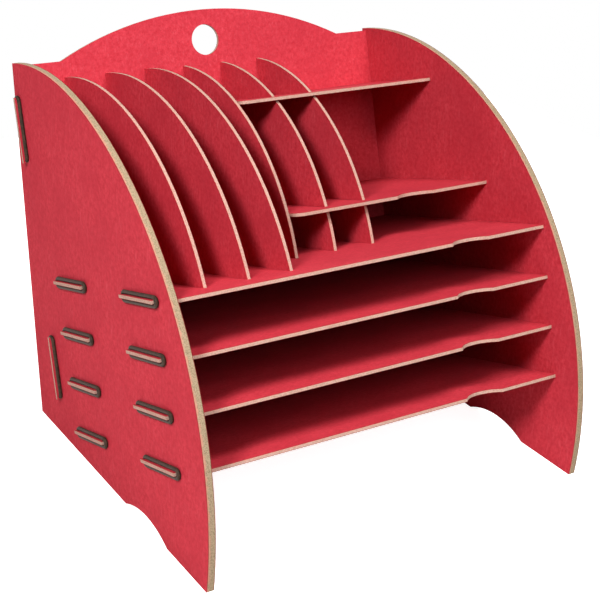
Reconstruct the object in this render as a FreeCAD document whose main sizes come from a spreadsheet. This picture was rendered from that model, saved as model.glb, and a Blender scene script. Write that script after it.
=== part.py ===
import FreeCAD, Part
import os
import Sketcher
from FreeCAD import Rotation, Vector

# Desk organizer of slotted fibreboard: two thick side panels, a thin arched back panel, four
# full-width trays, two short shelves and six upright dividers. Nothing is glued or screwed. Each
# tab goes through a slot, and a stretched rubber ring around its neck locks it from outside.
#
# Frame: X runs across (left is negative), the front is -Y, Z is up, in millimetres. The side
# panels stand upright on the table. Everything between them leans: the back panel leans back by
# `lean`, and the trays rise towards the front by the same angle. The leaning boards are drawn in a
# level frame whose origin is the foot line, where the front face of the back panel meets the
# table, and are then turned about that line.

SIZES = [
    # alias, value, what it is
    ("width", 330.0, "across the outer faces of the side panels"),
    ("side_board", 5.8, "thickness of a side panel"),
    ("thin_board", 2.8, "thickness of every other board"),
    ("fit", 0.2, "how much wider and longer a slot is than its tab"),
    ("lean", 17.2, "angle between the back panel and the vertical, degrees"),
    # outline of a side panel, measured from the foot line and the table
    ("heel", 52.4, "base behind the foot line"),
    ("crown_height", 281.8, "height of the top back corner"),
    ("crown_back", 92.8, "top back corner behind the foot line"),
    ("front_radius", 266.2, "radius of the front edge"),
    ("front_centre_back", 36.9, "centre of the front edge behind the foot line"),
    ("front_centre_height", 23.5, "centre of the front edge above the table"),
    ("crown_angle", 78.4, "where the front edge passes into the tighter crown, degrees"),
    ("base_arch_centre", 137.9, "middle of the base arch in front of the foot line"),
    ("base_arch_chord", 66.0, "width of the base arch"),
    ("base_arch_radius", 69.0, "radius of the base arch"),
    # trays and short shelves, in the leaning frame
    ("tray_depth", 212.0, "full-width tray, from the back panel to its front edge"),
    ("tray_spacing", 39.3, "one tray to the next"),
    ("first_tray", 13.3, "top of the lowest tray above the foot line"),
    ("low_shelf_rise", 33.3, "top of the lower short shelf above the top tray"),
    ("low_shelf_depth", 148.0, "depth of the lower short shelf"),
    ("low_shelf_corner", 9.0, "radius of its free front corner"),
    ("high_shelf_rise", 118.1, "top of the upper short shelf above the top tray"),
    ("high_shelf_depth", 86.0, "depth of the upper short shelf"),
    ("high_shelf_corner", 6.0, "radius of its free front corner"),
    ("notch_chord", 34.0, "width of the finger notch in a front edge"),
    ("notch_radius", 21.2, "radius of the finger notch"),
    ("notch_offset", 88.5, "middle of the finger notch right of the middle"),
    # dividers, in the leaning frame
    ("first_gap", 32.8, "left side panel to the first divider"),
    ("divider_spacing", 34.4, "one divider to the next"),
    ("divider_rise", 150.6, "top of a tall divider above the top tray"),
    ("tall_radius", 198.0, "radius of a tall divider's front edge"),
    ("short_radius", 166.5, "radius of a short divider's front edge"),
    ("short_centre_back", 22.0, "centre of that edge behind the back panel's front face"),
    ("short_centre_drop", 15.4, "centre of that edge below the top tray"),
    ("low_lap", 72.0, "depth of the slot where the lower shelf laps a divider"),
    ("high_lap", 40.0, "depth of the slot where the upper shelf laps a divider"),
    # back panel, in the leaning frame
    ("back_bottom", 4.0, "bottom edge above the foot line"),
    ("shoulder_height", 294.3, "shoulders above the foot line"),
    ("back_arch_chord", 255.4, "width of the arch on the shoulders"),
    ("back_arch_radius", 286.0, "radius of the arch"),
    ("hole_height", 300.0, "middle of the hanging hole above the foot line"),
    ("hole_diameter", 24.6, "hanging hole"),
    # locking tabs and rubber rings
    ("tab_length", 52.0, "shelf tab along the slot"),
    ("rear_tab", 27.0, "back panel to a tray's rear tab"),
    ("front_tab_inset", 13.0, "front edge of a tray to its front tab"),
    ("low_shelf_tab", 46.0, "back panel to the lower short shelf's tab"),
    ("high_shelf_tab", 16.0, "back panel to the upper short shelf's tab"),
    ("upright_tab_length", 50.0, "tab of the back panel or a divider along the slot"),
    ("back_tab_low", 33.6, "lower tab of the back panel above the foot line"),
    ("back_tab_high", 220.7, "upper tab of the back panel above the foot line"),
    ("divider_tab_rise", 48.0, "rear tab of a divider above the top tray"),
    ("plain_tab_length", 40.0, "plain tab that ends flush in its slot"),
    ("divider_foot_tab", 60.0, "back panel to a divider's plain tab"),
    ("low_plain_tab", 46.0, "back panel to the lower short shelf's plain tab"),
    ("high_plain_tab", 4.0, "back panel to the upper short shelf's plain tab"),
    ("hook_depth", 4.6, "deep notch behind a tab's hook"),
    ("heel_depth", 0.4, "shallow notch at the other end"),
    ("upper_notch", 3.0, "notch in the upper end of an upright tab"),
    ("head", 1.8, "head of a tab beyond its ring"),
    ("ring_width", 2.2, "rubber ring along the tab"),
    ("ring_wall", 3.8, "rubber ring from its neck outward"),
]

TRAYS = ["f", "e", "d", "c"]

doc = FreeCAD.newDocument("desk_organizer")
sheet = doc.addObject("Spreadsheet::Sheet", "Sizes")
for row, (alias, value, note) in enumerate(SIZES, start=1):
    sheet.set(f"A{row}", alias)
    sheet.set(f"B{row}", str(value))
    sheet.setAlias(f"B{row}", alias)
    sheet.set(f"C{row}", note)
doc.recompute()


def size(formula):
    """The formula with every alias written as a reference to its cell in the sheet."""
    names = {alias for alias, _, _ in SIZES}
    words = []
    word = ""
    for letter in formula + " ":
        if letter.isalnum() or letter == "_":
            word += letter
            continue
        words.append(f"Sizes.{word}" if word in names else word)
        words.append(letter)
        word = ""
    return "".join(words).strip()


def value_of(formula):
    """The present value of a formula of aliases."""
    return float(sheet.evalExpression(size(formula)))


# Derived places, each a formula of the aliases above.
HALF = "(width / 2)"
INNER = "(width / 2 - side_board)"
TOP_TRAY = "(first_tray + 3 * tray_spacing)"
LOW_SHELF = f"({TOP_TRAY} + low_shelf_rise)"
HIGH_SHELF = f"({TOP_TRAY} + high_shelf_rise)"
FIRST_DIVIDER = f"({INNER} - first_gap)"
DIVIDER_TOP = f"({TOP_TRAY} + divider_rise)"
SHORT_CENTRE = f"({TOP_TRAY} - short_centre_drop)"
SHELF_START = f"(0 - {FIRST_DIVIDER} + 3 * divider_spacing + thin_board)"
REAR_TAB_END = "(0 - rear_tab - tab_length)"
FRONT_TAB_END = "(front_tab_inset - tray_depth)"
DIVIDER_TAB = f"({TOP_TRAY} + divider_tab_rise)"
TALL_FOOT = "(0 - sqrt(tall_radius ^ 2 - (tall_radius - divider_rise) ^ 2))"
SHORT_FOOT = "(short_centre_back - sqrt(short_radius ^ 2 - short_centre_drop ^ 2))"
SHORT_TOP = f"({SHORT_CENTRE} + sqrt(short_radius ^ 2 - short_centre_back ^ 2))"
SHELF_NECK = "(tab_length - hook_depth - heel_depth)"
UPRIGHT_NECK = "(upright_tab_length - hook_depth - upper_notch)"
RING_END = "(thin_board / 2 + ring_wall)"
FRONT_FOOT = "(front_centre_back - sqrt(front_radius ^ 2 - front_centre_height ^ 2))"
CROWN_START_Y = "(front_centre_back - front_radius * cos(crown_angle * 1 deg))"
CROWN_START_Z = "(front_centre_height + front_radius * sin(crown_angle * 1 deg))"
# The crown's radius is the one that leaves the front edge's arc without a corner.
CROWN_RADIUS = (
    f"(((crown_back - {CROWN_START_Y}) ^ 2 + (crown_height - {CROWN_START_Z}) ^ 2) / 2"
    f" / ((crown_back - {CROWN_START_Y}) * cos(crown_angle * 1 deg)"
    f" - (crown_height - {CROWN_START_Z}) * sin(crown_angle * 1 deg)))"
)
# The whole stands with its box centred on the origin. The front edge's arc reaches furthest
# forward, and the top of the back panel's arch reaches furthest back.
ARCH_TOP = (
    "(shoulder_height + back_arch_radius"
    " - sqrt(back_arch_radius ^ 2 - (back_arch_chord / 2) ^ 2))"
)
REACH_BACK = f"(thin_board * cos(lean * 1 deg) + {ARCH_TOP} * sin(lean * 1 deg))"
REACH_FRONT = "(front_radius - front_centre_back)"
STAND_SHIFT = f"(({REACH_FRONT} - {REACH_BACK}) / 2)"


def new_body(label, leaning=True):
    """An empty body that stands in place, turned with the leaning boards if it is one."""
    body = doc.addObject("PartDesign::Body", label)
    body.Label = label
    if leaning:
        body.Placement.Rotation = Rotation(Vector(-1, 0, 0), value_of("lean"))
        body.setExpression("Placement.Rotation.Angle", size("lean"))
    body.setExpression("Placement.Base.y", size(STAND_SHIFT))
    return body


def new_sketch(body, name, plane, offset="0", turned=False):
    """A sketch on one of the body's own planes, moved along the plane's normal by offset."""
    sketch = body.newObject("Sketcher::SketchObject", name)
    support = next(f for f in body.Origin.OriginFeatures if f.Role == plane)
    sketch.AttachmentSupport = [(support, "")]
    sketch.MapMode = "FlatFace"
    if turned:
        sketch.AttachmentOffset.Rotation = Rotation(Vector(0, 0, -1), value_of("lean"))
        sketch.setExpression("AttachmentOffset.Rotation.Angle", size("lean"))
    sketch.setExpression("AttachmentOffset.Base.z", size(offset))
    return sketch


def bind(sketch, constraint, formula):
    """Add a dimension and tie it to its formula."""
    index = sketch.addConstraint(constraint)
    sketch.setExpression(f"Constraints[{index}]", size(formula))


def pin(sketch, geometry, end, x, y):
    """Fix a point at (x, y), each a formula. A zero is a point on the sketch's own axis."""
    for axis, kind, formula in ((-2, "DistanceX", x), (-1, "DistanceY", y)):
        if formula == "0":
            sketch.addConstraint(Sketcher.Constraint("PointOnObject", geometry, end, axis))
        else:
            dimension = Sketcher.Constraint(kind, -1, 1, geometry, end, value_of(formula))
            bind(sketch, dimension, formula)


def curve_between(start, finish, radius):
    """An arc between two points: a positive radius bulges to the right of the way along it."""
    chord = finish - start
    side = Vector(chord.y, -chord.x, 0).normalize() * (1 if radius > 0 else -1)
    reach = abs(radius) - (radius ** 2 - (chord.Length / 2) ** 2) ** 0.5
    middle = (start + finish) * 0.5 + side * reach
    if radius > 0:
        return Part.Arc(start, middle, finish)
    return Part.Arc(finish, middle, start)


def outline(sketch, corners):
    """A closed outline through corners (x, y, radius): the radius of the edge that leaves the
    corner is 0 where it is straight, and negative where it is hollow. The corners run
    anticlockwise. Returns the number of each edge and of the end where it starts."""
    places = [Vector(value_of(x), value_of(y), 0) for x, y, _ in corners]
    edges = []
    for index, (_, _, radius) in enumerate(corners):
        start = places[index]
        finish = places[(index + 1) % len(places)]
        if radius == "0":
            number = sketch.addGeometry(Part.LineSegment(start, finish))
            edges.append((number, 1, 2))
            continue
        bulge = value_of(radius)
        number = sketch.addGeometry(curve_between(start, finish, bulge))
        edges.append((number, 1, 2) if bulge > 0 else (number, 2, 1))
        bind(sketch, Sketcher.Constraint("Radius", number, abs(bulge)), f"abs({radius})")
    for index, (number, first, last) in enumerate(edges):
        following, start, _ = edges[(index + 1) % len(edges)]
        sketch.addConstraint(Sketcher.Constraint("Coincident", number, last, following, start))
        pin(sketch, number, first, corners[index][0], corners[index][1])
    return edges


def rectangle(sketch, left, bottom, width, height):
    """A rectangle from its lower left corner and its two sizes."""
    low = Vector(value_of(left), value_of(bottom), 0)
    across = Vector(value_of(width), 0, 0)
    up = Vector(0, value_of(height), 0)
    corners = [low, low + across, low + across + up, low + up]
    base = sketch.GeometryCount
    for index in range(4):
        sketch.addGeometry(Part.LineSegment(corners[index], corners[(index + 1) % 4]))
    for index in range(4):
        following = base + (index + 1) % 4
        sketch.addConstraint(Sketcher.Constraint("Coincident", base + index, 2, following, 1))
        level = "Horizontal" if index % 2 == 0 else "Vertical"
        sketch.addConstraint(Sketcher.Constraint(level, base + index))
    pin(sketch, base, 1, left, bottom)
    bind(sketch, Sketcher.Constraint("DistanceX", base, 1, base, 2, across.x), width)
    bind(sketch, Sketcher.Constraint("DistanceY", base + 1, 1, base + 1, 2, up.y), height)


def pad(body, sketch, thickness):
    """Raise the sketch along its normal by the board's thickness."""
    feature = body.newObject("PartDesign::Pad", sketch.Name + "_pad")
    feature.Profile = sketch
    feature.setExpression("Length", size(thickness))
    sketch.Visibility = False
    body.Tip = feature
    return feature


def cut(body, sketch, thickness):
    """Cut the sketch through a board that lies on the same side of the plane as its pad."""
    feature = body.newObject("PartDesign::Pocket", sketch.Name + "_cut")
    feature.Profile = sketch
    feature.Reversed = True
    feature.setExpression("Length", size(thickness))
    sketch.Visibility = False
    body.Tip = feature
    return feature


def repeat(body, feature, sketch, axis, step, count):
    """Repeat a feature along an axis of its sketch, one step apart."""
    pattern = body.newObject("PartDesign::LinearPattern", feature.Name + "_row")
    pattern.Originals = [feature]
    pattern.Direction = (sketch, [axis])
    pattern.setExpression("Length", size(f"{step} * {count - 1}"))
    pattern.Occurrences = count
    body.Tip = pattern
    return pattern


def mirror(body, features):
    """Repeat features on the other side of the body's middle plane."""
    mirrored = body.newObject("PartDesign::Mirrored", body.Label + "_mirror")
    mirrored.Originals = features
    middle = next(f for f in body.Origin.OriginFeatures if f.Role == "YZ_Plane")
    mirrored.MirrorPlane = (middle, [""])
    body.Tip = mirrored
    return mirrored


def locking_tabs(body, name, plane, offset, face, wall, outward, tabs):
    """Tabs that pass a wall and stand proud of its far face by a ring and a head. Across the
    sketch each runs outward (1 or -1) and ends at face; tabs gives (start, length, hook_low):
    where it starts, how long it is, and whether the deep notch is at its low end."""
    solid = new_sketch(body, name, plane, offset)
    notches = new_sketch(body, name + "_necks", plane, offset)
    proud = "(ring_width + head)"
    tab_left = f"{face} - {wall}" if outward > 0 else f"{face} - {proud}"
    neck_left = face if outward > 0 else f"{face} - ring_width"
    for start, length, hook_low in tabs:
        low_notch = "hook_depth" if hook_low else "heel_depth"
        high_notch = "upper_notch" if hook_low else "hook_depth"
        rectangle(solid, tab_left, start, f"{wall} + {proud}", length)
        rectangle(notches, neck_left, start, "ring_width", low_notch)
        high_start = f"{start} + {length} - {high_notch}"
        rectangle(notches, neck_left, high_start, "ring_width", high_notch)
    return [pad(body, solid, "thin_board"), cut(body, notches, "thin_board")]


def side_panel(label, left, extra_slots):
    """A thick side panel: a flat foot with an arch in it, a front edge that passes into a
    tighter crown, and a slot for every tab that ends in it."""
    body = new_body(label, leaning=False)
    profile = new_sketch(body, label + "_profile", "YZ_Plane", left)
    outline(profile, [
        (FRONT_FOOT, "0", "0"),
        ("(0 - base_arch_centre - base_arch_chord / 2)", "0", "(0 - base_arch_radius)"),
        ("(0 - base_arch_centre + base_arch_chord / 2)", "0", "0"),
        ("heel", "0", "0"),
        ("crown_back", "crown_height", CROWN_RADIUS),
        (CROWN_START_Y, CROWN_START_Z, "front_radius"),
    ])
    pad(body, profile, "side_board")
    trays = new_sketch(body, label + "_tray_slots", "YZ_Plane", left, turned=True)
    tray_slot = "first_tray - thin_board - fit / 2"
    for end in (REAR_TAB_END, FRONT_TAB_END):
        rectangle(trays, f"{end} - fit / 2", tray_slot, "tab_length + fit", "thin_board + fit")
    tray_cut = cut(body, trays, "side_board")
    repeat(body, tray_cut, trays, "V_Axis", "tray_spacing", len(TRAYS))
    backs = new_sketch(body, label + "_back_slots", "YZ_Plane", left, turned=True)
    for low in ("back_tab_low", "back_tab_high"):
        rectangle(backs, "(0 - fit / 2)", f"{low} - fit / 2",
                  "thin_board + fit", "upright_tab_length + fit")
    cut(body, backs, "side_board")
    if extra_slots:
        shelves = new_sketch(body, label + "_shelf_slots", "YZ_Plane", left, turned=True)
        for start, top in extra_slots:
            rectangle(shelves, f"(0 - {start} - tab_length - fit / 2)",
                      f"{top} - thin_board - fit / 2", "tab_length + fit", "thin_board + fit")
        cut(body, shelves, "side_board")
    return body


def finger_notch(body, label, base, depth):
    """A shallow round notch in the front edge, for a thumb under the topmost sheet."""
    sketch = new_sketch(body, label + "_notch", "XY_Plane", base)
    front = f"(0 - {depth})"
    outline(sketch, [
        ("(notch_offset - notch_chord / 2)", front, "0"),
        ("(notch_offset + notch_chord / 2)", front, "notch_radius"),
    ])
    return cut(body, sketch, "thin_board")


def tray(label, top):
    """A full-width tray with two locking tabs at each end."""
    body = new_body(label)
    base = f"({top} - thin_board)"
    board = new_sketch(body, label + "_board", "XY_Plane", base)
    rectangle(board, f"(0 - {INNER})", "(0 - tray_depth)", f"2 * {INNER}", "tray_depth")
    pad(body, board, "thin_board")
    tabs = [(REAR_TAB_END, "tab_length", False), (FRONT_TAB_END, "tab_length", False)]
    mirror(body, locking_tabs(
        body, label + "_tabs", "XY_Plane", base, f"(0 - {HALF})", "side_board", -1, tabs))
    finger_notch(body, label, base, "tray_depth")
    return body


def divider_slots(body, label, plane, offset, first, start, length):
    """Six slots, one for each divider, one divider pitch apart."""
    sketch = new_sketch(body, label + "_divider_slots", plane, offset)
    rectangle(sketch, f"{first} - fit / 2", start, "thin_board + fit", length)
    repeat(body, cut(body, sketch, "thin_board"), sketch, "H_Axis", "divider_spacing", 6)


def short_shelf(label, top, depth, corner, lap, tab_start, plain_start, notched):
    """A short shelf from the fourth divider to the right side panel. Slots in its rear edge
    slide over the fifth and sixth dividers, and the free front corner is rounded."""
    body = new_body(label)
    base = f"({top} - thin_board)"
    board = new_sketch(body, label + "_board", "XY_Plane", base)
    outline(board, [
        (SHELF_START, f"({corner} - {depth})", corner),
        (f"({SHELF_START} + {corner})", f"(0 - {depth})", "0"),
        (INNER, f"(0 - {depth})", "0"),
        (INNER, "0", "0"),
        (SHELF_START, "0", "0"),
    ])
    pad(body, board, "thin_board")
    end = f"(0 - {tab_start} - tab_length)"
    locking_tabs(body, label + "_tab", "XY_Plane", base, HALF, "side_board", 1,
                 [(end, "tab_length", False)])
    plain = new_sketch(body, label + "_plain_tab", "XY_Plane", base)
    rectangle(plain, f"({SHELF_START} - thin_board)", f"(0 - {plain_start} - plain_tab_length)",
              "thin_board", "plain_tab_length")
    pad(body, plain, "thin_board")
    laps = new_sketch(body, label + "_laps", "XY_Plane", base)
    rectangle(laps, f"({SHELF_START} + divider_spacing - thin_board - fit / 2)",
              f"(0 - {lap} - fit / 2)", "thin_board + fit", f"{lap} + fit / 2")
    repeat(body, cut(body, laps, "thin_board"), laps, "H_Axis", "divider_spacing", 2)
    if notched:
        finger_notch(body, label, base, depth)
    return body


def divider(label, number, front_foot, crown, radius, laps, slots):
    """An upright divider: a round front edge from the back panel down to the top tray, one
    locking tab through the back panel and one plain tab in the tray. Laps are slots open at the
    front, where a short shelf crosses it, and slots take a short shelf's plain tab."""
    body = new_body(label)
    left = f"(0 - {FIRST_DIVIDER} + {number - 1} * divider_spacing)"
    board = new_sketch(body, label + "_board", "YZ_Plane", left)
    outline(board, [
        (front_foot, TOP_TRAY, "0"),
        ("0", TOP_TRAY, "0"),
        ("0", crown, radius),
    ])
    pad(body, board, "thin_board")
    locking_tabs(body, label + "_tab", "YZ_Plane", left, "thin_board", "thin_board", 1,
                 [(DIVIDER_TAB, "upright_tab_length", True)])
    foot = new_sketch(body, label + "_foot", "YZ_Plane", left)
    rectangle(foot, "(0 - divider_foot_tab - plain_tab_length)", f"({TOP_TRAY} - thin_board)",
              "plain_tab_length", "thin_board")
    pad(body, foot, "thin_board")
    if laps:
        open_slots = new_sketch(body, label + "_laps", "YZ_Plane", left)
        for top, lap in laps:
            rectangle(open_slots, "(0 - tray_depth)", f"({top} - thin_board - fit / 2)",
                      f"(tray_depth - {lap} + fit / 2)", "(thin_board + fit)")
        cut(body, open_slots, "thin_board")
    if slots:
        closed_slots = new_sketch(body, label + "_slots", "YZ_Plane", left)
        for top, start in slots:
            rectangle(closed_slots, f"(0 - {start} - plain_tab_length - fit / 2)",
                      f"({top} - thin_board - fit / 2)", "(plain_tab_length + fit)",
                      "(thin_board + fit)")
        cut(body, closed_slots, "thin_board")
    return body


def back_panel(label):
    """The thin back panel: shoulders, an arch with a hanging hole, four locking tabs and the
    slots of the six dividers."""
    body = new_body(label)
    rear = "(0 - thin_board)"
    board = new_sketch(body, label + "_board", "XZ_Plane", rear)
    outline(board, [
        (f"(0 - {INNER})", "back_bottom", "0"),
        (INNER, "back_bottom", "0"),
        (INNER, "shoulder_height", "0"),
        ("(back_arch_chord / 2)", "shoulder_height", "back_arch_radius"),
        ("(0 - back_arch_chord / 2)", "shoulder_height", "0"),
        (f"(0 - {INNER})", "shoulder_height", "0"),
    ])
    pad(body, board, "thin_board")
    tabs = [("back_tab_low", "upright_tab_length", True),
            ("back_tab_high", "upright_tab_length", True)]
    mirror(body, locking_tabs(
        body, label + "_tabs", "XZ_Plane", rear, f"(0 - {HALF})", "side_board", -1, tabs))
    divider_slots(body, label, "XZ_Plane", rear, f"(0 - {FIRST_DIVIDER})",
                  f"{DIVIDER_TAB} - fit / 2", "(upright_tab_length + fit)")
    hole = new_sketch(body, label + "_hole", "XZ_Plane", rear)
    circle = hole.addGeometry(Part.Circle(Vector(0, value_of("hole_height"), 0),
                                          Vector(0, 0, 1), value_of("hole_diameter") / 2))
    pin(hole, circle, 3, "0", "hole_height")
    bind(hole, Sketcher.Constraint("Diameter", circle, value_of("hole_diameter")),
         "hole_diameter")
    cut(body, hole, "thin_board")
    return body


def ring(label, plane, offset, left, bottom, across, up):
    """A rubber ring around the neck of a tab: the neck's own rectangle inside, straight runs
    along the neck and half rounds past its ends."""
    body = new_body(label)
    sketch = new_sketch(body, label + "_loop", plane, offset)
    right = f"({left} + {across})"
    top = f"({bottom} + {up})"
    if across == "thin_board":
        middle = f"({left} + thin_board / 2)"
        outline(sketch, [
            (f"({right} + ring_wall)", bottom, "0"),
            (f"({right} + ring_wall)", top, RING_END),
            (middle, f"({top} + {RING_END})", RING_END),
            (f"({left} - ring_wall)", top, "0"),
            (f"({left} - ring_wall)", bottom, RING_END),
            (middle, f"({bottom} - {RING_END})", RING_END),
        ])
    else:
        middle = f"({bottom} + thin_board / 2)"
        outline(sketch, [
            (left, f"({bottom} - ring_wall)", "0"),
            (right, f"({bottom} - ring_wall)", RING_END),
            (f"({right} + {RING_END})", middle, RING_END),
            (right, f"({top} + ring_wall)", "0"),
            (left, f"({top} + ring_wall)", RING_END),
            (f"({left} - {RING_END})", middle, RING_END),
        ])
    rectangle(sketch, left, bottom, across, up)
    pad(body, sketch, "ring_width")
    return body


def shelf_ring(label, offset, start_end, top):
    """A ring on a shelf's tab, outside a side panel."""
    neck = f"({start_end} + heel_depth)"
    return ring(label, "YZ_Plane", offset, neck, f"({top} - thin_board)", SHELF_NECK,
                "thin_board")


def main():
    """Build every board and ring."""
    bodies = []
    left_face = f"(0 - {HALF})"
    left_ring = f"(0 - {HALF} - ring_width)"
    short_tabs = [("low_shelf_tab", LOW_SHELF), ("high_shelf_tab", HIGH_SHELF)]
    bodies.append(side_panel("left_side_panel", left_face, []))
    bodies.append(side_panel("right_side_panel", INNER, short_tabs))
    bodies.append(back_panel("back_panel"))
    for step, letter in enumerate(TRAYS):
        top = f"(first_tray + {step} * tray_spacing)"
        board = tray(f"tray_{letter}", top)
        if letter == "c":
            divider_slots(board, "tray_c", "XY_Plane", f"({top} - thin_board)",
                          f"(0 - {FIRST_DIVIDER})",
                          "(0 - divider_foot_tab - plain_tab_length - fit / 2)",
                          "(plain_tab_length + fit)")
        bodies.append(board)
        for place, end in (("rear", REAR_TAB_END), ("front", FRONT_TAB_END)):
            bodies.append(shelf_ring(f"ring_left_{letter}_{place}", left_ring, end, top))
            bodies.append(shelf_ring(f"ring_right_{letter}_{place}", HALF, end, top))
    bodies.append(short_shelf("shelf_b", LOW_SHELF, "low_shelf_depth", "low_shelf_corner",
                              "low_lap", "low_shelf_tab", "low_plain_tab", True))
    bodies.append(short_shelf("shelf_a", HIGH_SHELF, "high_shelf_depth", "high_shelf_corner",
                              "high_lap", "high_shelf_tab", "high_plain_tab", False))
    for letter, (start, top) in zip("ba", short_tabs):
        bodies.append(shelf_ring(f"ring_right_{letter}", HALF, f"(0 - {start} - tab_length)", top))
    for number in (1, 2, 3):
        bodies.append(divider(f"divider_{number}", number, TALL_FOOT, DIVIDER_TOP,
                              "tall_radius", [], []))
    laps = [(LOW_SHELF, "low_lap"), (HIGH_SHELF, "high_lap")]
    plain = [(LOW_SHELF, "low_plain_tab"), (HIGH_SHELF, "high_plain_tab")]
    for number in (4, 5, 6):
        bodies.append(divider(f"divider_{number}", number, SHORT_FOOT, SHORT_TOP,
                              "short_radius", laps if number > 4 else [],
                              plain if number == 4 else []))
    for number in range(1, 7):
        left = f"(0 - {FIRST_DIVIDER} + {number - 1} * divider_spacing)"
        bodies.append(ring(f"ring_back_{number}", "XZ_Plane", "(0 - thin_board - ring_width)",
                           left, f"({DIVIDER_TAB} + hook_depth)", "thin_board", UPRIGHT_NECK))
    for place in ("low", "high"):
        for side, offset in (("left", left_ring), ("right", HALF)):
            bodies.append(ring(f"ring_{side}_back_{place}", "YZ_Plane", offset, "0",
                               f"(back_tab_{place} + hook_depth)", "thin_board", UPRIGHT_NECK))
    return bodies


def write(bodies):
    """Check every object and every solid, then write one file for each sub-part."""
    doc.recompute()
    for item in doc.Objects:
        if "Invalid" in item.State or "Error" in item.State:
            raise RuntimeError(f"{item.Name} failed: {item.State}")
    os.makedirs("parts", exist_ok=True)
    for body in bodies:
        shape = body.Shape
        if shape.isNull() or not shape.isValid() or len(shape.Solids) != 1:
            raise RuntimeError(f"{body.Label} is not one valid solid")
    for body in bodies:
        body.Shape.exportStep(f"parts/{body.Label}.step")


write(main())
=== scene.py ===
"""Desktop paper organizer of slotted, red-stained fibreboard: finishes, rubber rings and light."""

import math

import bmesh
import bpy
from mathutils import Matrix, Vector


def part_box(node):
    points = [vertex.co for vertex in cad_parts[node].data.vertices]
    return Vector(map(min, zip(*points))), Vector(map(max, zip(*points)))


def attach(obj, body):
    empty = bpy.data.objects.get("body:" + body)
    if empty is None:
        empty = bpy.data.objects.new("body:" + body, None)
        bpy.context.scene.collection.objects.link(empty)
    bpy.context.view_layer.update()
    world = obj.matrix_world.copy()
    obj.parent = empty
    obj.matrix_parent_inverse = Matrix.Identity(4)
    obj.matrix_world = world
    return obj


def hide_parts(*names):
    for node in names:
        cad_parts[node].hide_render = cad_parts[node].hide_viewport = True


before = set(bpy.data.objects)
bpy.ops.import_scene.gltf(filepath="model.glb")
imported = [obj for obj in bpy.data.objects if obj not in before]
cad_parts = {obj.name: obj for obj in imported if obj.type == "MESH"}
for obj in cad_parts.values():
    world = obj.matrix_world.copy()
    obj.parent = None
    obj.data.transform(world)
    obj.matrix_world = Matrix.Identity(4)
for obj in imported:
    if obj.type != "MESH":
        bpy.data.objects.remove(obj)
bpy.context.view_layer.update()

MM = 0.001

# The trays, the dividers' floor and the back panel lean back together by this angle.
LEAN = math.radians(17.2)
ACROSS = Vector((1.0, 0.0, 0.0))
FORWARD = Vector((0.0, -math.cos(LEAN), math.sin(LEAN)))
UPWARD = Vector((0.0, math.sin(LEAN), math.cos(LEAN)))

THICK = 5.8 * MM
THIN = 2.8 * MM

# Patterns of a stained face, and how far they are shifted from one board to the next.
FIBRE_PATCH = 3.0 * MM
STREAK_WIDTH = 1.3 * MM
STREAK_STRETCH = (1.0, 1.0, 0.14)
STAIN_CLOUD = 38.0 * MM
BOARD_SHIFT = (0.37, 0.61, 0.23)

# Patterns of a cut edge. Then, for each thickness of board: the colours of its grains from dark to
# pale, how far the stain crept in from a wetted face, and how wide the dark line along each corner
# is. Faces have their own roughness, which goes with the mottle.
EDGE_GRAIN = 0.9 * MM
CREEP_RAG = 3.5 * MM
GRAIN_COLOURS = {
    THICK: ("#72614C", "#8E7C63", "#A28D74"),
    THIN: ("#967264", "#AE887A", "#BC998C"),
}
STAIN_CREEP = {THICK: 1.5 * MM, THIN: 0.7 * MM}
CORNER_LINE = {THICK: 0.4 * MM, THIN: 0.2 * MM}
EDGE_ROUGHNESS = 0.85

# Bloom in patches on the rubber, and its matt skin: a real skin is finer, and wouldn't show.
RUBBER_BLOOM = 3.0 * MM
RUBBER_SKIN = 0.5 * MM

# Stretched rubber rings: the width of the model's ring, and the section that the squeeze leaves a
# round one, first along the tab and then out from its neck. Below them are the two neck lengths.
RING_SEAT = 2.2 * MM
RING_WIDTH = 2.9 * MM
RING_WALL = 3.1 * MM
SHELF_NECK = 47.0 * MM
UPRIGHT_NECK = 42.4 * MM
RING_SECTION_SIDES = 16
RING_BEND_STEPS = 16
# What keeps the rubber's surface off the boards that it presses on, and how near points are welded.
SLACK = 0.1 * MM
WELD = 0.01 * MM

TABLE_HALF_WIDTH = 0.8
MIDDLE_OF_OBJECT = Vector((0.0, 0.0, 0.15))

# Sockets of a Mix node: its share of the second input, and its two inputs, which lie at other
# places for colours than for plain numbers. A mixed colour comes out of a socket of its own.
SHARE = 0
FIRST_NUMBER, SECOND_NUMBER = 2, 3
FIRST_COLOUR, SECOND_COLOUR = 6, 7
MIXED_NUMBER = 0
MIXED_COLOUR = 2


def linear(code):
    """An sRGB hex colour as linear red, green, blue and a full alpha."""
    parts = [int(code[i : i + 2], 16) / 255 for i in (1, 3, 5)]
    curve = [c / 12.92 if c <= 0.04045 else ((c + 0.055) / 1.055) ** 2.4 for c in parts]
    return (*curve, 1.0)


def add(tree, kind, feeds=None, **settings):
    """Adds a node with its settings, and links or sets the sockets in feeds."""
    made = tree.nodes.new(kind)
    for name, value in settings.items():
        setattr(made, name, value)
    for socket, value in (feeds or {}).items():
        if isinstance(value, bpy.types.NodeSocket):
            tree.links.new(value, made.inputs[socket])
        else:
            made.inputs[socket].default_value = value
    return made


def new_material(name):
    """An empty node material and its tree."""
    material = bpy.data.materials.new(name)
    material.use_nodes = True
    material.node_tree.nodes.clear()
    return material, material.node_tree


def new_object(name, mesh, material):
    """Makes an object of a finished bmesh, in one material."""
    data = bpy.data.meshes.new(name)
    mesh.to_mesh(data)
    mesh.free()
    data.materials.append(material)
    made = bpy.data.objects.new(name, data)
    bpy.context.scene.collection.objects.link(made)
    return made


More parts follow.
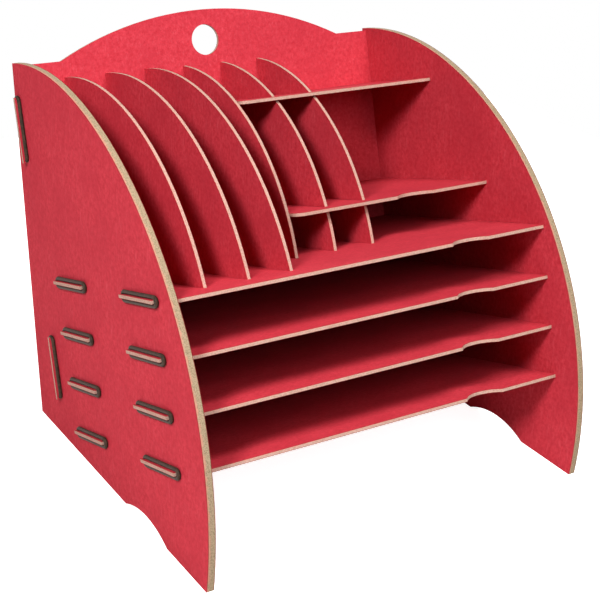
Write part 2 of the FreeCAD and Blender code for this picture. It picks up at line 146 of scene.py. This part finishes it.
def stained_face(tree, place):
    """The colour of a stained face, and the mottle of its fibres.

    The stain takes unevenly on the pressed fibres: it gives a cloudy red with a fine mottle and
    short faint streaks.
    """
    # Pressed fibres, 3 mm patches; real ones are 0.3 to 1 mm, drawn coarser so that they show.
    mottle = add(
        tree,
        "ShaderNodeTexNoise",
        {"Vector": place, "Scale": 1 / FIBRE_PATCH, "Detail": 4.0, "Roughness": 0.70},
    ).outputs["Fac"]
    # Streaks of fibre 1.3 mm wide and 9 mm long, upright on the boards that stand.
    stretched = add(
        tree,
        "ShaderNodeMapping",
        {"Vector": place, "Rotation": (LEAN, 0.0, 0.0), "Scale": STREAK_STRETCH},
    ).outputs[0]
    streaks = add(
        tree,
        "ShaderNodeTexNoise",
        {"Vector": stretched, "Scale": 1 / STREAK_WIDTH, "Detail": 2.0, "Roughness": 0.5},
    ).outputs["Fac"]
    # Clouds of heavier and lighter stain, 25 to 50 mm across.
    clouds = add(
        tree,
        "ShaderNodeTexNoise",
        {"Vector": place, "Scale": 1 / STAIN_CLOUD, "Detail": 3.0, "Roughness": 0.55},
    ).outputs["Fac"]

    stain = add(tree, "ShaderNodeValToRGB", {"Fac": mottle})
    stops = stain.color_ramp.elements
    stops[0].position, stops[0].color = 0.32, linear("#AC2833")
    stops[1].position, stops[1].color = 0.68, linear("#C63C48")
    streak_share = add(
        tree,
        "ShaderNodeMapRange",
        {"Value": streaks, "From Min": 0.56, "From Max": 0.80, "To Min": 0.0, "To Max": 0.5},
    ).outputs[0]
    streaked = add(
        tree,
        "ShaderNodeMix",
        {SHARE: streak_share, FIRST_COLOUR: stain.outputs[0], SECOND_COLOUR: linear("#CC525D")},
        data_type="RGBA",
    ).outputs[MIXED_COLOUR]
    cloud_share = add(
        tree,
        "ShaderNodeMapRange",
        {"Value": clouds, "From Min": 0.35, "From Max": 0.68, "To Min": 0.0, "To Max": 0.45},
    ).outputs[0]
    clouded = add(
        tree,
        "ShaderNodeMix",
        {SHARE: cloud_share, FIRST_COLOUR: streaked, SECOND_COLOUR: linear("#A92936")},
        data_type="RGBA",
    ).outputs[MIXED_COLOUR]
    return clouded, mottle


def stain_front(tree, place, off_middle, thickness, wet_side):
    """How far in the stain crept: a ragged front, and hardly at all from the drier face."""
    creep = STAIN_CREEP[thickness]
    ragged = add(
        tree,
        "ShaderNodeTexNoise",
        {"Vector": place, "Scale": 1 / CREEP_RAG, "Detail": 3.0, "Roughness": 0.6},
    ).outputs["Fac"]
    front = add(
        tree,
        "ShaderNodeMapRange",
        {
            "Value": ragged,
            "From Min": 0.3,
            "From Max": 0.7,
            "To Min": creep * 0.4,
            "To Max": creep * 1.7,
        },
    ).outputs[0]
    # One half of the board's thickness is wet and the other nearly dry, with a short step between.
    step = 0.1 * MM * wet_side
    wetness = add(
        tree,
        "ShaderNodeMapRange",
        {
            "Value": off_middle,
            "From Min": -step,
            "From Max": step,
            "To Min": 0.25,
            "To Max": 1.0,
        },
    ).outputs[0]
    return add(tree, "ShaderNodeMath", {0: front, 1: wetness}, operation="MULTIPLY").outputs[0]


def cut_edge(tree, place, off_middle, thickness, wet_side):
    """The colour of a cut edge, and its grain.

    The edge is bare pressed fibre: speckled beige, pinker on a thin board, with a pink rim where
    the stain crept in from the faces and a dark red line along each corner. off_middle is the
    distance from the board's middle plane, along its normal.
    """
    # Grains of pressed fibre about 0.9 mm: grey-brown, beige and pale ones.
    grain = add(
        tree,
        "ShaderNodeTexNoise",
        {"Vector": place, "Scale": 1 / EDGE_GRAIN, "Detail": 3.0, "Roughness": 0.7},
    ).outputs["Fac"]
    core = add(tree, "ShaderNodeValToRGB", {"Fac": grain})
    stops = core.color_ramp.elements
    dark, middling, pale = (linear(code) for code in GRAIN_COLOURS[thickness])
    stops[0].position, stops[0].color = 0.30, dark
    stops[1].position, stops[1].color = 0.62, pale
    stops.new(0.46).color = middling

    # Distance in from the nearer face, over half the board.
    from_middle = add(tree, "ShaderNodeMath", {0: off_middle}, operation="ABSOLUTE").outputs[0]
    inward = add(
        tree, "ShaderNodeMath", {0: thickness / 2, 1: from_middle}, operation="SUBTRACT"
    ).outputs[0]
    front = stain_front(tree, place, off_middle, thickness, wet_side)
    reach = add(tree, "ShaderNodeMath", {0: inward, 1: front}, operation="DIVIDE").outputs[0]
    bleed = add(
        tree,
        "ShaderNodeMapRange",
        {"Value": reach, "From Min": 0.35, "From Max": 1.1, "To Min": 0.75, "To Max": 0.0},
    ).outputs[0]
    rimmed = add(
        tree,
        "ShaderNodeMix",
        {SHARE: bleed, FIRST_COLOUR: core.outputs[0], SECOND_COLOUR: linear("#C9806E")},
        data_type="RGBA",
    ).outputs[MIXED_COLOUR]
    # A dark red line painted along each corner of the edge, finer on a thin board.
    corner = add(
        tree,
        "ShaderNodeMapRange",
        {
            "Value": inward,
            "From Min": 0.75 * CORNER_LINE[thickness],
            "From Max": 1.25 * CORNER_LINE[thickness],
            "To Min": 1.0,
            "To Max": 0.0,
        },
    ).outputs[0]
    edged = add(
        tree,
        "ShaderNodeMix",
        {SHARE: corner, FIRST_COLOUR: rimmed, SECOND_COLOUR: linear("#681417")},
        data_type="RGBA",
    ).outputs[MIXED_COLOUR]
    return edged, grain


def stained_fibreboard(name, normal, middle, thickness, wet_side, seed):
    """Medium-density fibreboard: faces stained red and left matt, outline cut bare.

    middle is how far the board's middle plane lies along normal. wet_side is 1 where the stain went
    deeper from the face that normal points out of, and -1 where it did from the other.
    """
    material, tree = new_material(name)
    place = add(tree, "ShaderNodeTexCoord").outputs["Object"]
    shift = tuple(seed * step for step in BOARD_SHIFT)
    shifted = add(tree, "ShaderNodeVectorMath", {0: place, 1: shift}).outputs[0]

    # Face or cut edge, from how the surface is turned to the board's own normal.
    true_normal = add(tree, "ShaderNodeNewGeometry").outputs["True Normal"]
    turned = add(
        tree, "ShaderNodeVectorMath", {0: true_normal, 1: normal}, operation="DOT_PRODUCT"
    ).outputs["Value"]
    squared = add(tree, "ShaderNodeMath", {0: turned, 1: turned}, operation="MULTIPLY").outputs[0]
    is_face = add(tree, "ShaderNodeMath", {0: squared, 1: 0.5}, operation="GREATER_THAN").outputs[0]

    across = add(
        tree, "ShaderNodeVectorMath", {0: place, 1: normal}, operation="DOT_PRODUCT"
    ).outputs["Value"]
    off_middle = add(
        tree, "ShaderNodeMath", {0: across, 1: middle}, operation="SUBTRACT"
    ).outputs[0]

    face, mottle = stained_face(tree, shifted)
    edge, grain = cut_edge(tree, shifted, off_middle, thickness, wet_side)
    colour = add(
        tree,
        "ShaderNodeMix",
        {SHARE: is_face, FIRST_COLOUR: edge, SECOND_COLOUR: face},
        data_type="RGBA",
    ).outputs[MIXED_COLOUR]
    face_roughness = add(
        tree,
        "ShaderNodeMapRange",
        {"Value": mottle, "From Min": 0.3, "From Max": 0.7, "To Min": 0.70, "To Max": 0.80},
    ).outputs[0]
    roughness = add(
        tree,
        "ShaderNodeMix",
        {SHARE: is_face, FIRST_NUMBER: EDGE_ROUGHNESS, SECOND_NUMBER: face_roughness},
        data_type="FLOAT",
    ).outputs[MIXED_NUMBER]
    height = add(
        tree,
        "ShaderNodeMix",
        {SHARE: is_face, FIRST_NUMBER: grain, SECOND_NUMBER: mottle},
        data_type="FLOAT",
    ).outputs[MIXED_NUMBER]
    bump = add(
        tree, "ShaderNodeBump", {"Height": height, "Strength": 0.35, "Distance": 0.12 * MM}
    ).outputs[0]
    surface = add(
        tree,
        "ShaderNodeBsdfPrincipled",
        {
            "Base Color": colour,
            "Roughness": roughness,
            "Normal": bump,
            "IOR": 1.5,
            "Specular IOR Level": 0.07,
        },
    )
    add(tree, "ShaderNodeOutputMaterial", {"Surface": surface.outputs[0]})
    return material


def rubber():
    """Moulded black rubber, soft and a little dusty: dark brown, with a dull paler bloom."""
    material, tree = new_material("moulded_rubber")
    place = add(tree, "ShaderNodeTexCoord").outputs["Object"]
    bloom = add(
        tree,
        "ShaderNodeTexNoise",
        {"Vector": place, "Scale": 1 / RUBBER_BLOOM, "Detail": 4.0, "Roughness": 0.65},
    ).outputs["Fac"]
    skin = add(
        tree,
        "ShaderNodeTexNoise",
        {"Vector": place, "Scale": 1 / RUBBER_SKIN, "Detail": 2.0, "Roughness": 0.6},
    ).outputs["Fac"]
    colour = add(tree, "ShaderNodeValToRGB", {"Fac": bloom})
    stops = colour.color_ramp.elements
    stops[0].position, stops[0].color = 0.35, linear("#261D16")
    stops[1].position, stops[1].color = 0.68, linear("#48372B")
    roughness = add(
        tree,
        "ShaderNodeMapRange",
        {"Value": bloom, "From Min": 0.3, "From Max": 0.7, "To Min": 0.45, "To Max": 0.62},
    ).outputs[0]
    bump = add(
        tree, "ShaderNodeBump", {"Height": skin, "Strength": 0.3, "Distance": 0.08 * MM}
    ).outputs[0]
    surface = add(
        tree,
        "ShaderNodeBsdfPrincipled",
        {
            "Base Color": colour.outputs[0],
            "Roughness": roughness,
            "Normal": bump,
            "IOR": 1.52,
            "Specular IOR Level": 0.12,
        },
    )
    add(tree, "ShaderNodeOutputMaterial", {"Surface": surface.outputs[0]})
    return material


def lie_of_board(name):
    """A board's normal and thickness, and the side of it that was wetted more."""
    if name.endswith("side_panel"):
        return ACROSS, THICK, -1
    if name.startswith("divider"):
        return ACROSS, THIN, -1
    if name == "back_panel":
        return FORWARD, THIN, 1
    return UPWARD, THIN, 1


def board_middle(board, normal):
    """Where a board's middle plane lies along its normal."""
    reach = [normal.dot(v.co) for v in board.data.vertices]
    return (min(reach) + max(reach)) / 2


def finish_boards():
    """Gives every board its own stained finish, with its patterns placed on its own planes."""
    board_names = [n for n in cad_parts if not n.startswith("ring_")]
    for seed, name in enumerate(sorted(board_names)):
        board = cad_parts[name]
        normal, thickness, wet_side = lie_of_board(name)
        middle = board_middle(board, normal)
        finish = f"stained_fibreboard_{name}"
        material = stained_fibreboard(finish, normal, middle, thickness, wet_side, seed)
        board.data.materials.clear()
        board.data.materials.append(material)


def stretched_ring(neck_length):
    """A ring of round section about its own middle: two straight runs and a half round at each end.

    z runs down the neck, and y along the tab, away from the board it locks.
    """
    mesh = bmesh.new()
    section = bmesh.ops.create_circle(mesh, segments=RING_SECTION_SIDES, radius=0.5)["verts"]
    bmesh.ops.scale(mesh, verts=section, vec=(RING_WALL, RING_WIDTH - SLACK, 1.0))
    middle_line = (THIN + RING_WALL) / 2 + SLACK
    bmesh.ops.translate(mesh, verts=section, vec=(middle_line, 0.0, -neck_length / 2))
    edges = mesh.edges[:]
    for way in (1.0, -1.0):
        grown = bmesh.ops.extrude_edge_only(mesh, edges=edges)["geom"]
        verts = [g for g in grown if isinstance(g, bmesh.types.BMVert)]
        edges = [g for g in grown if isinstance(g, bmesh.types.BMEdge)]
        bmesh.ops.translate(mesh, verts=verts, vec=(0.0, 0.0, way * neck_length))
        bend = bmesh.ops.spin(
            mesh,
            geom=verts + edges,
            cent=(0.0, 0.0, way * neck_length / 2),
            axis=(0.0, 1.0, 0.0),
            angle=-math.pi,
            steps=RING_BEND_STEPS,
        )
        edges = [g for g in bend["geom_last"] if isinstance(g, bmesh.types.BMEdge)]
    bmesh.ops.remove_doubles(mesh, verts=mesh.verts, dist=WELD)
    return mesh


def rubber_ring(node, along, neck_length, out, material):
    """Sets a round ring on a tab's neck, against the board it locks, in the place of the model's.

    along runs down the neck, out points along the tab away from the board it locks.
    """
    low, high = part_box(node)
    centre = (Vector(low) + Vector(high)) / 2 + out * (RING_WIDTH - RING_SEAT) / 2
    set_on_neck = Matrix((out.cross(along), out, along)).transposed().to_4x4()
    mesh = stretched_ring(neck_length)
    bmesh.ops.transform(mesh, matrix=Matrix.Translation(centre) @ set_on_neck, verts=mesh.verts)
    bmesh.ops.recalc_face_normals(mesh, faces=mesh.faces)
    for face in mesh.faces:
        face.smooth = True
    ring = new_object(f"rubber_{node}", mesh, material)
    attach(ring, "root")
    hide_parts(node)


def fit_rings():
    """Puts a rounded rubber ring in the place of every ring of the model."""
    material = rubber()
    for name in sorted(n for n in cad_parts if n.startswith("ring_")):
        if name.startswith("ring_back"):
            out = -FORWARD
        elif name.startswith("ring_left"):
            out = -ACROSS
        else:
            out = ACROSS
        if "_back_" in name:
            rubber_ring(name, UPWARD, UPRIGHT_NECK, out, material)
        else:
            rubber_ring(name, FORWARD, SHELF_NECK, out, material)


def eye_rays(tree):
    """One for rays that the eye follows, straight or by way of gloss or glass, else zero."""
    path = add(tree, "ShaderNodeLightPath")
    straight = path.outputs["Is Camera Ray"]
    gloss = path.outputs["Is Glossy Ray"]
    glass = path.outputs["Is Transmission Ray"]
    some = add(tree, "ShaderNodeMath", {0: straight, 1: gloss}, operation="MAXIMUM").outputs[0]
    return add(tree, "ShaderNodeMath", {0: some, 1: glass}, operation="MAXIMUM").outputs[0]


def pale_floor():
    """A matt white table top that keeps a soft shadow and shows white to the eye."""
    material, tree = new_material("matt_white_table")
    seen = eye_rays(tree)
    matt = add(tree, "ShaderNodeBsdfDiffuse", {"Color": linear("#DEDCDA")}).outputs[0]
    glow = add(
        tree, "ShaderNodeEmission", {"Color": linear("#FFFFFF"), "Strength": 0.90}
    ).outputs[0]
    lit = add(tree, "ShaderNodeAddShader", {0: matt, 1: glow}).outputs[0]
    shown = add(tree, "ShaderNodeMixShader", {0: seen, 1: matt, 2: lit}).outputs[0]
    add(tree, "ShaderNodeOutputMaterial", {"Surface": shown})
    mesh = bmesh.new()
    bmesh.ops.create_grid(mesh, x_segments=1, y_segments=1, size=TABLE_HALF_WIDTH)
    new_object("table_top", mesh, material)


def white_surround(fill):
    """White behind the object, and a faint even fill on it."""
    world = bpy.data.worlds.new("white_surround")
    bpy.context.scene.world = world
    world.use_nodes = True
    tree = world.node_tree
    tree.nodes.clear()
    seen = eye_rays(tree)
    strength = add(
        tree,
        "ShaderNodeMix",
        {SHARE: seen, FIRST_NUMBER: fill, SECOND_NUMBER: 1.0},
        data_type="FLOAT",
    ).outputs[MIXED_NUMBER]
    shown = add(tree, "ShaderNodeBackground", {"Color": linear("#FFFFFF"), "Strength": strength})
    add(tree, "ShaderNodeOutputWorld", {"Surface": shown.outputs[0]})


def softbox(name, toward, distance, size, watts):
    """A square softbox that faces the middle of the object."""
    lamp = bpy.data.lights.new(name, "AREA")
    lamp.shape = "SQUARE"
    lamp.size = size
    lamp.energy = watts
    holder = bpy.data.objects.new(name, lamp)
    direction = Vector(toward).normalized()
    holder.location = MIDDLE_OF_OBJECT + direction * distance
    holder.rotation_euler = (-direction).to_track_quat("-Z", "Y").to_euler()
    bpy.context.scene.collection.objects.link(holder)


def studio():
    """Plain soft light: a small softbox at the left, wider ones overhead, in front and behind."""
    white_surround(fill=0.02)
    softbox("left_softbox", (-0.92, -0.55, 0.88), distance=1.39, size=0.28, watts=20.0)
    softbox("overhead_softbox", (0.10, -0.31, 0.94), distance=2.0, size=0.55, watts=27.0)
    softbox("front_softbox", (0.10, -0.82, 0.56), distance=2.0, size=0.90, watts=17.5)
    softbox("rear_softbox", (0.66, 0.74, 0.30), distance=2.0, size=0.90, watts=20.0)


def place_camera():
    """The viewing place: about a metre off, left of the front and looking down by 24 degrees."""
    eye = Vector((-0.54478, -0.82991, 0.56491))
    sight = Vector((0.50315, 0.75968, -0.41199))
    roll = math.radians(3.178)
    lens = bpy.data.cameras.new("viewer")
    lens.sensor_width = 36.0
    lens.lens = 83.39
    lens.clip_start = 0.01
    camera = bpy.data.objects.new("viewer", lens)
    camera.matrix_world = (
        Matrix.Translation(eye)
        @ sight.to_track_quat("-Z", "Y").to_matrix().to_4x4()
        @ Matrix.Rotation(roll, 4, "Z")
    )
    bpy.context.scene.collection.objects.link(camera)
    bpy.context.scene.camera = camera


finish_boards()
fit_rings()
pale_floor()
studio()
place_camera()
bpy.context.scene.view_settings.view_transform = "Standard"
